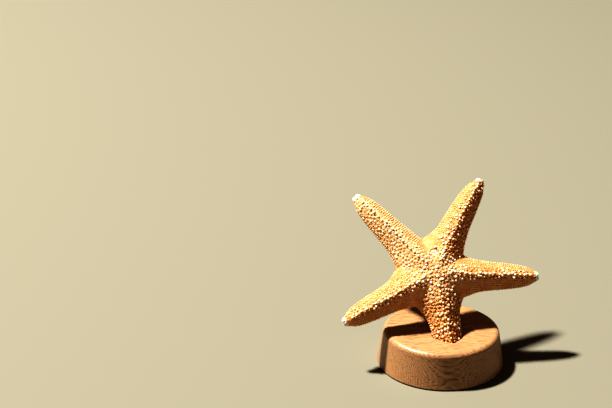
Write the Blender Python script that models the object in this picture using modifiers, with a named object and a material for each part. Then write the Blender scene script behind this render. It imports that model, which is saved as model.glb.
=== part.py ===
"""A dried common sea star (Asterias kind), five arms, standing on one arm tip in a round display base.

The animal is drawn in its own plane first: u to the right, v up the body, w out of its upper (aboral)
face. That plane then leans back and is set into the base. Lengths are in metres, angles in degrees.
"""
import bpy
from math import cos, exp, pi, radians, sin
from mathutils import Matrix, Vector
from mathutils.bvhtree import BVHTree

# --- the animal -------------------------------------------------------------------------------------
# name, direction of the arm, length from the disc's centre, sideways bend at the tip, rise of the tip,
# width factor, height factor
ARMS = (
    ("right", -2.9, 0.0528, 0.0004, 0.0000, 1.07, 1.00),
    ("upper_right", 66.5, 0.0560, -0.0056, -0.0004, 1.05, 1.00),
    ("upper_left", 132.0, 0.0564, -0.0004, -0.0003, 1.05, 1.00),
    ("lower_left", 205.4, 0.0520, 0.0003, 0.0004, 1.02, 1.00),
    ("foot", 278.9, 0.0500, -0.0003, 0.0000, 1.10, 1.00),
)
# the five armpits, counter-clockwise from the one between "right" and "upper_right":
# distance from the centre, and how far it is turned from half way between its two arms
ARMPITS = ((0.0195, 0.5), (0.0209, 6.0), (0.0205, -1.0), (0.0200, -5.0), (0.0197, 1.0))

ARM_HALF_WIDTH = 0.0087
WIDTH_TAPER = 0.28  # share of the width lost evenly from centre to tip
BLUNT = 8.0  # the higher, the blunter the arm's end
FLARE = 0.0024  # extra half width where an arm meets its neighbour
FLARE_LENGTH = 0.09  # of the arm's length
ARM_HEIGHT = 0.0101  # ridge above the edge of the body
HEIGHT_TAPER = 0.40
DISC_HEIGHT = 0.0094
UNDER_DEPTH = 0.0031  # flat under (oral) side below the edge of the body
GROOVE_FLOOR = 0.30  # of the under depth: the open furrow along each arm
ROOF_INNER, ROOF_OUTER = 1.0, 1.22  # roof-like section: powers of its curve
WEB_INNER, WEB_OUTER = 1.9, 1.15  # the valley between two arms: powers of its curve
ROOF_COLUMNS = (0.42, 0.80)  # between ridge and edge, of the half width
UNDER_COLUMNS = ((0.34, 1.00), (0.82, 0.82))  # furrow's rim and outer rim: place, depth
END_HALF_WIDTH, END_HEIGHT, END_DEPTH = 0.0018, 0.0016, 0.0012

PIT_ROW = 3  # rows of the cage from the centre to the armpit
PIT_SHARE = 0.27  # where the armpit row lies in the width and height rules
ROWS = (0.37, 0.48, 0.59, 0.70, 0.80, 0.885, 0.945, 0.985, 1.0)

# --- its pose and its base --------------------------------------------------------------------------
LEAN = 37.0  # how far the body leans back from upright
CENTRE = Vector((-0.0030, 0.0090, 0.0430))  # the disc's centre above the base's foot
BASE_TOP_RADIUS, BASE_FOOT_RADIUS, BASE_HEIGHT = 0.0290, 0.0315, 0.0185
BASE_ROUND, BASE_CHAMFER = 0.0025, 0.0008
BASE_SIDES = 48
SOCKET_CLEARANCE = 0.0004

# --- parting and small plates -----------------------------------------------------------------------
GAP = 0.0003
SPLIT = 0.0195  # disc to arm, from the centre
TIP_LENGTH = 0.0040
MADREPORITE_PLACE = (0.0105, 92.0)  # distance from the centre, direction
MADREPORITE_RADIUS, MADREPORITE_PROUD, MADREPORITE_DEEP = 0.0016, 0.0006, 0.0007
MOUTH_RADIUS, MOUTH_DEEP = 0.0023, 0.0016
PLATE_SIDES = 20

for item in list(bpy.data.objects):
    bpy.data.objects.remove(item)


def collection(name):
    group = bpy.data.collections.new(name)
    bpy.context.scene.collection.children.link(group)
    return group


STAR = collection("sea_star")
CUTTERS = collection("cutters")


def material(name, colour, roughness):
    made = bpy.data.materials.new(name)
    made.use_nodes = True
    shader = made.node_tree.nodes["Principled BSDF"]
    shader.inputs["Base Color"].default_value = (*colour, 1.0)
    shader.inputs["Roughness"].default_value = roughness
    return made


def add_object(name, mesh, group=STAR):
    made = bpy.data.objects.new(name, mesh)
    group.objects.link(made)
    if group is CUTTERS:
        made.hide_render = True
        made.display_type = "WIRE"
    return made


def mesh_of(name, points, faces):
    mesh = bpy.data.meshes.new(name)
    mesh.from_pydata([tuple(p) for p in points], [], faces)
    mesh.update()
    return mesh


# ------------------------------------------------------------------------------------ rules of the arm
def half_width(share):
    even = ARM_HALF_WIDTH * (1 - WIDTH_TAPER * share)
    flare = FLARE * exp(-(share - PIT_SHARE) / FLARE_LENGTH)
    return even * (1 - share**BLUNT) ** 0.5 + flare


def ridge_height(share):
    return ARM_HEIGHT * (1 - HEIGHT_TAPER * share) * (1 - share ** (BLUNT - 1)) ** 0.5


def under_depth(share):
    return UNDER_DEPTH * (1 - share**BLUNT) ** 0.5


def roof(across):
    """Height of the upper side between the ridge, 0, and the edge of the body, 1."""
    return (1 - across**ROOF_INNER) ** (1 / ROOF_OUTER)


def web_height(share):
    """Height of the valley between two arms, from the centre, 0, to the armpit, 1."""
    return DISC_HEIGHT * (1 - share**WEB_INNER) ** (1 / WEB_OUTER)


# --------------------------------------------------------------------------------- the body's one cage
def star_cage():
    """One closed coarse cage of disc and arms. Neighbouring arms share the points between them."""
    points, faces = [], []

    def add(u, v, w):
        points.append(Vector((u, v, w)))
        return len(points) - 1

    count = len(ARMS)
    directions = [arm[1] for arm in ARMS] + [ARMS[0][1] + 360.0]
    top_centre = add(0, 0, DISC_HEIGHT)
    under_centre = add(0, 0, -UNDER_DEPTH * 0.35)
    web_top, web_under, web_direction = [], [], []
    for number, (reach, turn) in enumerate(ARMPITS):
        angle = radians((directions[number] + directions[number + 1]) / 2 + turn)
        web_direction.append(angle)
        tops, unders = [None], [None]
        for row in range(1, PIT_ROW):
            share = row / PIT_ROW
            u, v = reach * share * cos(angle), reach * share * sin(angle)
            tops.append(add(u, v, web_height(share)))
            unders.append(add(u, v, -UNDER_DEPTH * (1 - share**4) ** 0.5))
        armpit = add(reach * cos(angle), reach * sin(angle), 0.0)
        web_top.append(tops + [armpit])
        web_under.append(unders + [armpit])

    for number, (_, angle, length, bend, rise, wide, high) in enumerate(ARMS):
        before = (number - 1) % count
        along = Vector((cos(radians(angle)), sin(radians(angle)), 0.0))
        across = Vector((-along.y, along.x, 0.0))
        pit = sum(ARMPITS[side][0] * cos(web_direction[side] - radians(angle)) for side in (before, number)) / 2
        pit_share = pit / length
        shares = [pit_share * row / PIT_ROW for row in range(1, PIT_ROW + 1)]
        shares += [pit_share + (1 - pit_share) * (r - PIT_SHARE) / (1 - PIT_SHARE) for r in ROWS]
        rings = []
        for row, share in enumerate(shares, 1):
            lift = rise * share**2
            middle = along * share * length + across * bend * share**2
            if row <= PIT_ROW:
                rule = PIT_SHARE * row / PIT_ROW
                blend = (row / PIT_ROW) ** 1.5
                height = DISC_HEIGHT + (ridge_height(PIT_SHARE) * high - DISC_HEIGHT) * blend
                depth = under_depth(rule)
                edges = {1: web_top[number][row], -1: web_top[before][row]}
                rims = {1: web_under[number][row], -1: web_under[before][row]}
            else:
                rule = PIT_SHARE + (share - pit_share) / (1 - pit_share) * (1 - PIT_SHARE)
                height, depth, reach = ridge_height(rule) * high, under_depth(rule), half_width(rule) * wide
                if row == len(shares):
                    height, depth, reach = END_HEIGHT, END_DEPTH, END_HALF_WIDTH
                edges = {}
                for side in (1, -1):
                    spot = middle + across * reach * side
                    edges[side] = add(spot.x, spot.y, lift)
                rims = edges
            upper = [edges[-1]]
            for side, place in ((-1, 1), (-1, 0), (0, 0), (1, 0), (1, 1)):
                share_across = ROOF_COLUMNS[place] if side else 0.0
                edge = points[edges[side or 1]]
                spot = middle.lerp(edge, share_across)
                upper.append(add(spot.x, spot.y, edge.z + (lift + height - edge.z) * roof(share_across)))
            upper.append(edges[1])
            under = [rims[-1]]
            for side, place in ((-1, 1), (-1, 0), (0, 0), (1, 0), (1, 1)):
                share_across, deep = UNDER_COLUMNS[place] if side else (0.0, GROOVE_FLOOR)
                spot = middle.lerp(points[rims[side or 1]], share_across)
                under.append(add(spot.x, spot.y, lift - depth * deep))
            under.append(rims[1])
            rings.append((upper, under))
        for (upper, under), (next_upper, next_under) in zip(rings, rings[1:]):
            for column in range(6):
                faces.append((upper[column], next_upper[column], next_upper[column + 1], upper[column + 1]))
                faces.append((under[column], under[column + 1], next_under[column + 1], next_under[column]))
        upper, under = rings[-1]
        for column in range(6):
            ring = (upper[column], under[column], under[column + 1], upper[column + 1])
            faces.append(tuple(dict.fromkeys(ring)))
        upper, under = rings[0]
        for column in (0, 2, 4):
            faces.append((top_centre, upper[column], upper[column + 1], upper[column + 2]))
            faces.append((under_centre, under[column + 2], under[column + 1], under[column]))
    return points, faces


UPRIGHT = Matrix(((1, 0, 0), (0, 0, -1), (0, 1, 0))).to_4x4()
TO_WORLD = Matrix.Translation(CENTRE) @ Matrix.Rotation(-radians(LEAN), 4, "X") @ UPRIGHT

cage_points, cage_faces = star_cage()
cage = add_object("body_cage", mesh_of("body_cage", cage_points, cage_faces), CUTTERS)
cage.data.transform(TO_WORLD)
smooth = cage.modifiers.new("Rounded body", "SUBSURF")
smooth.levels = smooth.render_levels = 1
depsgraph = bpy.context.evaluated_depsgraph_get()
body = bpy.data.meshes.new_from_object(cage.evaluated_get(depsgraph))
body.name = "body"
surface = BVHTree.FromPolygons([v.co for v in body.vertices], [tuple(p.vertices) for p in body.polygons])


# ------------------------------------------------------------------------------------- thin straight cuts
def arm_box(name, angle, start, end):
    """A block over one arm from start to end along it, wide enough for that arm alone."""
    side, deep = 0.013, 0.020
    corners = [(x, y, z) for x in (start, end) for y in (-side, side) for z in (-deep, deep)]
    faces = [(0, 1, 3, 2), (4, 6, 7, 5), (0, 4, 5, 1), (2, 3, 7, 6), (0, 2, 6, 4), (1, 5, 7, 3)]
    block = add_object(name, mesh_of(name, corners, faces), CUTTERS)
    block.data.transform(TO_WORLD @ Matrix.Rotation(radians(angle), 4, "Z"))
    return block


def boolean(piece, operation, cutter):
    made = piece.modifiers.new(cutter.name, "BOOLEAN")
    made.operation = operation
    made.object = cutter
    made.solver = "EXACT"


def turned(name, profile, sides, place, group=STAR):
    """A turned solid from (radius, height) pairs that run down its outer side."""
    points = [(radius, 0.0, height) for radius, height in profile]
    mesh = mesh_of(name, points, [])
    mesh.edges.add(len(points) - 1)
    for number, edge in enumerate(mesh.edges):
        edge.vertices = (number, number + 1)
    piece = add_object(name, mesh, group)
    spin = piece.modifiers.new("Turned", "SCREW")
    spin.steps = spin.render_steps = sides
    spin.use_merge_vertices = True
    spin.merge_threshold = 0.00001
    spin.use_smooth_shade = True
    piece.matrix_world = place
    return piece


flesh = material("sea_star_skin", (0.72, 0.42, 0.17), 0.75)
tip_plate = material("arm_tip_plate", (0.86, 0.80, 0.70), 0.7)
chalk = material("madreporite", (0.80, 0.72, 0.60), 0.8)
membrane = material("mouth_membrane", (0.38, 0.22, 0.12), 0.7)
wood = material("display_base", (0.42, 0.26, 0.15), 0.45)

disc = add_object("disc", body)
disc.data.materials.append(flesh)
for arm_name, angle, length, *_ in ARMS:
    boolean(disc, "DIFFERENCE", arm_box(f"cut_{arm_name}", angle, SPLIT - GAP / 2, length * 1.3))
    arm = add_object(f"arm_{arm_name}", body)
    boolean(arm, "INTERSECT", arm_box(f"keep_{arm_name}", angle, SPLIT + GAP / 2, length - TIP_LENGTH))
    tip = add_object(f"tip_{arm_name}", body.copy())
    tip.data.materials.clear()
    tip.data.materials.append(tip_plate)
    boolean(tip, "INTERSECT", arm_box(f"keep_tip_{arm_name}", angle, length - TIP_LENGTH + GAP, length * 1.3))


# ----------------------------------------------------------------------- madreporite: the sieve plate
def on_surface(reach, angle, side):
    """Where the line through a spot of the body's plane leaves the body, and the way out there."""
    out = (TO_WORLD.to_3x3() @ Vector((0, 0, side))).normalized()
    start = TO_WORLD @ Vector((reach * cos(radians(angle)), reach * sin(radians(angle)), 0.03 * side))
    spot, normal, _, _ = surface.ray_cast(start, -out)
    return spot, normal


def standing_at(spot, way_out):
    return Matrix.Translation(spot) @ way_out.to_track_quat("Z", "Y").to_matrix().to_4x4()


spot, way_out = on_surface(*MADREPORITE_PLACE, 1)
sieve_place = standing_at(spot, way_out)
rim = MADREPORITE_RADIUS
turned(
    "madreporite",
    [
        (0.0, MADREPORITE_PROUD),
        (rim * 0.5, MADREPORITE_PROUD * 0.88),
        (rim * 0.82, MADREPORITE_PROUD * 0.55),
        (rim, MADREPORITE_PROUD * 0.1),
        (rim, -MADREPORITE_DEEP * 0.7),
        (rim * 0.9, -MADREPORITE_DEEP),
        (0.0, -MADREPORITE_DEEP),
    ],
    PLATE_SIDES,
    sieve_place,
).data.materials.append(chalk)
pocket = [(0.0, 0.004), (rim + GAP, 0.004), (rim + GAP, -MADREPORITE_DEEP - GAP), (0.0, -MADREPORITE_DEEP - GAP)]
boolean(disc, "DIFFERENCE", turned("madreporite_pocket", pocket, PLATE_SIDES, sieve_place, CUTTERS))

# ------------------------------------------------------------------------ mouth: on the under side
centre_below, _ = on_surface(0.0, 0.0, -1)
face_down = (TO_WORLD.to_3x3() @ Vector((0, 0, -1))).normalized()
mouth_place = standing_at(centre_below, face_down)
rim = MOUTH_RADIUS
turned(
    "mouth",
    [
        (0.0, -0.0007),
        (rim * 0.22, -0.0006),
        (rim * 0.42, -0.0001),
        (rim * 0.68, 0.0001),
        (rim, -0.0002),
        (rim, -MOUTH_DEEP * 0.9),
        (rim * 0.9, -MOUTH_DEEP),
        (0.0, -MOUTH_DEEP),
    ],
    PLATE_SIDES,
    mouth_place,
).data.materials.append(membrane)
pocket = [(0.0, 0.004), (rim + GAP, 0.004), (rim + GAP, -MOUTH_DEEP - GAP), (0.0, -MOUTH_DEEP - GAP)]
boolean(disc, "DIFFERENCE", turned("mouth_pocket", pocket, PLATE_SIDES, mouth_place, CUTTERS))

# ------------------------------------------------------------------- display base with a fitted socket
arc = [pi / 2 * step / 4 for step in range(5)]
round_edge = [
    (BASE_TOP_RADIUS - BASE_ROUND + BASE_ROUND * sin(a), BASE_HEIGHT - BASE_ROUND + BASE_ROUND * cos(a))
    for a in arc
]
profile = [(0.0, BASE_HEIGHT), *round_edge]
profile += [(BASE_FOOT_RADIUS, BASE_CHAMFER), (BASE_FOOT_RADIUS - BASE_CHAMFER, 0.0), (0.0, 0.0)]
base = turned("stand_base", profile, BASE_SIDES, Matrix.Identity(4))
base.data.materials.append(wood)

swollen = add_object("socket_shape", body.copy(), CUTTERS)
away = [vertex.normal.copy() for vertex in swollen.data.vertices]
for vertex, way in zip(swollen.data.vertices, away):
    vertex.co += way * SOCKET_CLEARANCE
boolean(base, "DIFFERENCE", swollen)

for piece in STAR.objects:
    piece.data.shade_smooth()
    piece.data.set_sharp_from_angle(angle=radians(40))
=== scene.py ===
# %% [markdown]
# # A dried common sea star on a round wooden base
# The real thing is a dried specimen: five tapering arms round a small disc, covered with blunt
# knobs, with a soft furrow of tube feet under every arm. It stands on one arm tip and leans back.
# The solid model gives the sizes and the pose. This file gives the surface: one skin without seams,
# knobs and granules as real mesh on it, the under side with its spines and tube feet, and the base.
# Everything is in metres, +Z is up, and the rough face of the sea star looks towards -Y.

from math import asin, atan2, cos, floor, pi, radians, sin

import bmesh
import bpy
import numpy as np
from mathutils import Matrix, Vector, noise
from mathutils.bvhtree import BVHTree
from mathutils.kdtree import KDTree


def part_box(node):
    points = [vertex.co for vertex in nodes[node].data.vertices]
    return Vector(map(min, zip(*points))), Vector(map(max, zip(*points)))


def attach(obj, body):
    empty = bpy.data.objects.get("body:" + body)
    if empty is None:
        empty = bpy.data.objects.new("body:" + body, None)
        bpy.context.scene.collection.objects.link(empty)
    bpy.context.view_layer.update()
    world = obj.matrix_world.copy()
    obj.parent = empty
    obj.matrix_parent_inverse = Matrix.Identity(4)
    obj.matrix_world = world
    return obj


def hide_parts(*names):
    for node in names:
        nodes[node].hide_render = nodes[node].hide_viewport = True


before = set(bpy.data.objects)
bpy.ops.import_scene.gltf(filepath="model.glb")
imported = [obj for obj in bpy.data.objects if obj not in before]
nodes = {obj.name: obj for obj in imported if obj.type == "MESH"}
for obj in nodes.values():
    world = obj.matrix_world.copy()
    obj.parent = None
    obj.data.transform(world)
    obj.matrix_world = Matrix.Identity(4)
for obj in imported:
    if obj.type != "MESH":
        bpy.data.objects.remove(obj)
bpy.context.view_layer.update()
MM = 0.001
ARM_NAMES = [name.removeprefix("tip_") for name in nodes if name.startswith("tip_")]
BASE_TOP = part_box("stand_base")[1].z

# %% [markdown]
# ## Where the body lies
# Every rule below (rows of knobs, furrows, markings) follows the animal and not the room. So the
# body's own axes come first. The mouth sits on the middle axis, and the five arm tips lie in the
# body's plane, so a plane through them gives the direction that the rough face looks in. That is
# better than typing the lean in, because it stays right if the solids change.


# %% The body's own axes
def points_of(mesh):
    points = np.empty(len(mesh.vertices) * 3)
    mesh.vertices.foreach_get("co", points)
    return points.reshape(-1, 3)


def normals_of(mesh):
    normals = np.empty(len(mesh.vertices) * 3)
    mesh.vertex_normals.foreach_get("vector", normals)
    return normals.reshape(-1, 3)


mouth_middle = points_of(nodes["mouth"].data).mean(axis=0)
tip_points = {name: points_of(nodes[f"tip_{name}"].data) for name in ARM_NAMES}
tip_middles = np.array([points.mean(axis=0) for points in tip_points.values()])
_, _, plane_axes = np.linalg.svd(tip_middles - tip_middles.mean(axis=0))
FACE = plane_axes[2] * (-1.0 if plane_axes[2][1] > 0 else 1.0)
RIGHT = np.array([1.0, 0.0, 0.0]) - FACE * FACE[0]
RIGHT /= np.linalg.norm(RIGHT)
TO_BODY = np.array([RIGHT, np.cross(FACE, RIGHT), FACE])
print("rough face looks along", FACE.round(3))


# %% From room to body and back
def body_place(points):
    """Room coordinates to (right, up, out of the rough face), from the mouth."""
    return (np.atleast_2d(points) - mouth_middle) @ TO_BODY.T


def room_place(points):
    return np.atleast_2d(points) @ TO_BODY + mouth_middle


def room_way(ways):
    return np.atleast_2d(ways) @ TO_BODY


arm_along, ARM_LENGTH = [], []
for name in ARM_NAMES:
    local = body_place(tip_points[name])[:, :2]
    way = local.mean(axis=0) / np.linalg.norm(local.mean(axis=0))
    arm_along.append(way)
    ARM_LENGTH.append(float((local @ way).max()))
arm_along = np.array(arm_along)
arm_across = np.column_stack([-arm_along[:, 1], arm_along[:, 0]])
arm_ends = np.array(ARM_LENGTH)
print("arm lengths mm", [round(v / MM, 1) for v in ARM_LENGTH])

# %% [markdown]
# ## Camera
# A long lens, as for a small object on a table. It looks down at about 25 degrees from a little to
# the left. The body is kept right of and below the middle of the picture, which is done by turning
# the camera a little and not by shifting its lens.

# %% Camera
LENS, SENSOR = 85.0, 36.0
CAMERA_DISTANCE, CAMERA_AZIMUTH, CAMERA_ELEVATION = 0.7225, -10.0, 25.0
NEAR_CLIP, FAR_CLIP = 0.05, 20.0
BODY_OFF_MIDDLE = (0.2092, -0.1168)  # right and up, in widths of the picture
DISC_MIDDLE_OUT = 0.93 * MM  # from the mouth membrane to the middle of the disc
HEADING_ROUNDS = 20
body_middle = Vector(room_place([0, 0, DISC_MIDDLE_OUT])[0])


def camera_heading(way, slope_right, slope_up):
    """The way a camera looks when something seen along "way" is off its middle by these slopes."""
    heading, tilt = atan2(way.x, way.y), asin(way.z)
    for _ in range(HEADING_ROUNDS):
        forward = Vector((sin(heading) * cos(tilt), cos(heading) * cos(tilt), sin(tilt)))
        side = Vector((cos(heading), -sin(heading), 0.0))
        heading += way.dot(side) / way.dot(forward) - slope_right
        tilt += way.dot(side.cross(forward)) / way.dot(forward) - slope_up
    return forward


azimuth, elevation = radians(CAMERA_AZIMUTH), radians(CAMERA_ELEVATION)
back = Vector((sin(azimuth) * cos(elevation), -cos(azimuth) * cos(elevation), sin(elevation)))
forward = camera_heading(-back, *[share * SENSOR / LENS for share in BODY_OFF_MIDDLE])
camera = bpy.data.objects.new("camera", bpy.data.cameras.new("camera"))
camera.data.lens, camera.data.sensor_width = LENS, SENSOR
camera.data.clip_start, camera.data.clip_end = NEAR_CLIP, FAR_CLIP
camera.location = body_middle + back * CAMERA_DISTANCE
camera.rotation_euler = forward.to_track_quat("-Z", "Y").to_euler()
bpy.context.scene.collection.objects.link(camera)
bpy.context.scene.camera = camera
print("camera at", [round(v, 3) for v in camera.location])

# %% [markdown]
# ## Studio
# A plain pale floor, a main light from the upper left and a little behind, a weak fill from the
# front, and a dim warm sky for the shadows. The raking light is what makes the knobs of the rough
# face stand out. The lamp is far away, because a near one would leave the far floor in the dark.

# %% Floor
FLOOR_COLOUR, FLOOR_HALF = (0.182, 0.175, 0.141), 6.0


def link_new(name, data):
    made = bpy.data.objects.new(name, data)
    bpy.context.scene.collection.objects.link(made)
    return made


def new_material(name, roughness, specular):
    made = bpy.data.materials.new(name)
    made.use_nodes = True
    shader = made.node_tree.nodes["Principled BSDF"]
    shader.inputs["Roughness"].default_value = roughness
    shader.inputs["Specular IOR Level"].default_value = specular
    return made, made.node_tree, shader


def dress(item, finish):
    """The item wears this finish alone."""
    item.data.materials.clear()
    item.data.materials.append(finish)
    print(item.name, "wears", finish.name)


corners = [(-1, -1), (1, -1), (1, 1), (-1, 1)]
corners = [(x * FLOOR_HALF, y * FLOOR_HALF, 0) for x, y in corners]
studio_floor_mesh = bpy.data.meshes.new("floor")
studio_floor_mesh.from_pydata(corners, [], [(0, 1, 2, 3)])
studio_floor = link_new("floor", studio_floor_mesh)
floor_finish, _, floor_shader = new_material("studio floor", roughness=0.9, specular=0.1)
floor_shader.inputs["Base Color"].default_value = (*FLOOR_COLOUR, 1)
dress(studio_floor, floor_finish)
print("floor", 2 * FLOOR_HALF, "m wide")

# %% Light
MAIN_TRAVEL = Vector((0.50, -0.165, -1.0)).normalized()
MAIN_DISTANCE, MAIN_SIZE, MAIN_POWER, MAIN_COLOUR = 3.6, 0.30, 468.0, (1.0, 0.96, 0.88)
FILL_TRAVEL = Vector((-0.30, 1.0, -0.50)).normalized()
FILL_DISTANCE, FILL_SIZE, FILL_POWER, FILL_COLOUR = 1.4, 0.9, 0.7, (0.93, 0.96, 1.0)
SKY_COLOUR, SKY_STRENGTH = (1.0, 0.68, 0.46), 0.125
EXPOSURE = -0.55


def area_light(name, travel, distance, size, power, colour):
    lamp = bpy.data.lights.new(name, "AREA")
    lamp.shape, lamp.size, lamp.energy, lamp.color = "DISK", size, power, colour
    made = link_new(name, lamp)
    made.location = body_middle - travel * distance
    made.rotation_euler = travel.to_track_quat("-Z", "Y").to_euler()


area_light("main light", MAIN_TRAVEL, MAIN_DISTANCE, MAIN_SIZE, MAIN_POWER, MAIN_COLOUR)
area_light("front fill", FILL_TRAVEL, FILL_DISTANCE, FILL_SIZE, FILL_POWER, FILL_COLOUR)
world = bpy.data.worlds.new("dim warm sky")
bpy.context.scene.world = world
world.use_nodes = True
background = world.node_tree.nodes["Background"]
background.inputs["Color"].default_value = (*SKY_COLOUR, 1)
background.inputs["Strength"].default_value = SKY_STRENGTH
picture = bpy.context.scene.view_settings
picture.view_transform = "Standard"
picture.look = "Very High Contrast"
picture.exposure = EXPOSURE
print(len(bpy.data.lights), "lights")

# %% [markdown]
# ## The skin
# The solids are parted by thin cuts so that each arm has its name. A real sea star has no such
# seams. One way is to bridge the cuts by hand. It is safer to swell every piece until the pieces
# overlap, let a voxel remesh melt them into one closed surface of even small faces, smooth it, and
# then draw it in by the swelling plus the depth of the coat, so that the tops of the knobs end at
# the surface of the solids.

# %% Swelling the solids
SWELL, WELD = 0.28 * MM, 1e-6
FLESH_NODES = ["disc"] + [f"arm_{name}" for name in ARM_NAMES]
TIP_NODES = [f"tip_{name}" for name in ARM_NAMES]


def swollen_copy(node_names, amount):
    """The named solids as one mesh, each with its doubles merged and its surface moved out."""
    together = bmesh.new()
    for name in node_names:
        part = bmesh.new()
        part.from_mesh(nodes[name].data)
        bmesh.ops.remove_doubles(part, verts=part.verts, dist=WELD)
        part.normal_update()
        for vertex, spot in [(v, v.co + v.normal * amount) for v in part.verts]:
            vertex.co = spot
        copy = bpy.data.meshes.new("swollen")
        part.to_mesh(copy)
        part.free()
        together.from_mesh(copy)
        bpy.data.meshes.remove(copy)
    made = bpy.data.meshes.new("swollen together")
    together.to_mesh(made)
    together.free()
    return made


whole_body = swollen_copy(FLESH_NODES + TIP_NODES + ["mouth"], SWELL)
print("swollen solids", len(whole_body.polygons), "faces")

# %% One closed skin
COAT_DEPTH, VOXEL = 0.48 * MM, 0.376 * MM
SMOOTH_SHARE, SKIN_SMOOTHING = 0.5, 8


def made_plain(item):
    """What the item's modifiers make becomes its mesh, and the modifiers go."""
    graph = bpy.context.evaluated_depsgraph_get()
    result = bpy.data.meshes.new_from_object(item.evaluated_get(graph))
    result.name = item.name
    item.modifiers.clear()
    item.data = result
    return item


def melted(name, mesh, voxel, smoothing):
    item = link_new(name, mesh)
    remesh = item.modifiers.new("One surface", "REMESH")
    remesh.mode, remesh.voxel_size = "VOXEL", voxel
    soften = item.modifiers.new("Soften", "SMOOTH")
    soften.factor, soften.iterations = SMOOTH_SHARE, smoothing
    return made_plain(item)


def set_points(mesh, points):
    mesh.vertices.foreach_set("co", points.astype(np.float32).ravel())
    mesh.update()


skin = melted("skin", whole_body, VOXEL, SKIN_SMOOTHING)
set_points(skin.data, points_of(skin.data) - normals_of(skin.data) * (SWELL + COAT_DEPTH))
skin_points, skin_normals = points_of(skin.data), normals_of(skin.data)
print("skin faces", len(skin.data.polygons))

# %% [markdown]
# ## A map of each arm
# To lay knobs in rows, every place on the skin needs arm coordinates: which arm, how far out, how
# far to the side, and the turn round the arm's axis. The arms bend a little, so the middle line and
# half the width are measured on the skin in short steps, and everything else is read from those.

# %% Measuring the arms
MAP_START, MAP_STEP, NEAR_EDGE = 17 * MM, 1.3 * MM, 0.9
skin_local = body_place(skin_points)
nearest_arm = (skin_local[:, :2] @ arm_along.T).argmax(axis=1)
arm_lines = []
for arm in range(len(ARM_NAMES)):
    mine = skin_local[nearest_arm == arm]
    out, side, level = mine[:, :2] @ arm_along[arm], mine[:, :2] @ arm_across[arm], mine[:, 2]
    rows = []
    for start in np.arange(MAP_START, out.max() - 0.5 * MAP_STEP, MAP_STEP):
        ring = (out >= start) & (out < start + MAP_STEP)
        middle = (side[ring].max() + side[ring].min()) / 2
        half = (side[ring].max() - side[ring].min()) / 2
        edge = np.abs(side[ring] - middle) > NEAR_EDGE * half
        rows.append((start + MAP_STEP / 2, middle, half, level[ring][edge].mean()))
    inner = (0.0, 0.0, rows[0][2], rows[0][3])
    arm_lines.append(np.array([inner] + rows))
print("arms measured in", [len(rows) for rows in arm_lines], "steps")


# %% Arm coordinates
def line_at(arm, out):
    """The middle line's side step, half the width and the widest level, this far out."""
    table = arm_lines[arm]
    return [np.interp(out, table[:, 0], table[:, column]) for column in (1, 2, 3)]


def arm_place(local):
    """Arm number, distance out, side step from the middle line, side share and turn."""
    arm = (local[:, :2] @ arm_along.T).argmax(axis=1)
    out = (local[:, :2] * arm_along[arm]).sum(axis=1)
    side = (local[:, :2] * arm_across[arm]).sum(axis=1)
    share, turn = np.zeros(len(local)), np.zeros(len(local))
    for number in range(len(ARM_NAMES)):
        mine = arm == number
        middle, half, wide = line_at(number, out[mine])
        side[mine] -= middle
        share[mine] = side[mine] / half
        turn[mine] = np.arctan2(local[mine, 2] - wide, side[mine])
    return arm, out, side, share, turn


skin_arm, skin_out, skin_side, skin_share, skin_turn = arm_place(skin_local)
print("share of the skin on each arm", (np.bincount(skin_arm) / len(skin_arm)).round(2))

# %% Rays that meet the skin
RAY_START = 20 * MM  # well outside the skin, whichever way the ray goes
skin_faces = [tuple(face.vertices) for face in skin.data.polygons]
skin_tree = BVHTree.FromPolygons(skin_points.tolist(), skin_faces)


def meet_skin(start, way):
    """Where a ray in room coordinates meets the skin, and the skin's direction there."""
    spot, normal, _, _ = skin_tree.ray_cast(Vector(start), Vector(way))
    return None if spot is None else (np.array(spot), np.array(normal))


def skin_hit(arm, out, turn):
    """The place on the skin at this turn round an arm's axis (90 degrees is the ridge)."""
    middle, _, wide = line_at(arm, out)
    flat = arm_along[arm] * out + arm_across[arm] * middle
    way = np.append(arm_across[arm] * cos(turn), sin(turn))
    start = np.append(flat, wide) + way * RAY_START
    hit = meet_skin(room_place(start)[0], -room_way(way)[0])
    if hit is None:
        return None
    return hit if (arm_along @ body_place(hit[0])[0, :2]).argmax() == arm else None


def mm_over_mouth(hits):
    return [round(float(body_place(hit[0])[0, 2]) / MM, 1) for hit in hits]


half_way = [skin_hit(arm, arm_ends[arm] / 2, radians(90)) for arm in range(len(ARM_NAMES))]
print("ridge half way down each arm, mm over the mouth", mm_over_mouth(half_way))

# %% [markdown]
# ## Where the pits and knobs go
# A dried sea star of this kind has an open net of small plates under its skin. The skin sinks into
# dark pits between them, and blunt knobs stand where the strands of the net meet. Rows could be
# drawn by hand, but a net makes itself: pits are spread at an even distance, and the places that
# lie furthest from every pit are its crossings. The tallest knobs go down the ridge of each arm
# first, and both pits and small knobs then keep clear of them.

# %% Knobs down the ridges
SPREAD_SEED = 41
chance = np.random.default_rng(SPREAD_SEED)
SIEVE_MIDDLE = points_of(nodes["madreporite"].data).mean(axis=0)
SIEVE_CLEAR, SOCKET_DEPTH = 2.0 * MM, 3.0 * MM
RIDGE_PITCH, RIDGE_START, RIDGE_END = 2.5 * MM, 7.0 * MM, 3.4 * MM
PITCH_VARIES, OFF_RIDGE = (0.8, 1.25), 0.06  # times the pitch, and radians to either side
RIDGE_WIDTHS, RIDGE_RISES = (1.15, 1.60), (0.62, 0.85)  # in mm


def free_to_stand(places):
    """Not on the sieve plate, and not deep in the base where nothing shows."""
    away = np.linalg.norm(places - SIEVE_MIDDLE, axis=1) > SIEVE_CLEAR
    return away & (places[:, 2] > BASE_TOP - SOCKET_DEPTH)


def usable(hit):
    """Whether a ray met the skin, and where something may stand."""
    return hit is not None and free_to_stand(hit[0][None])[0]


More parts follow.
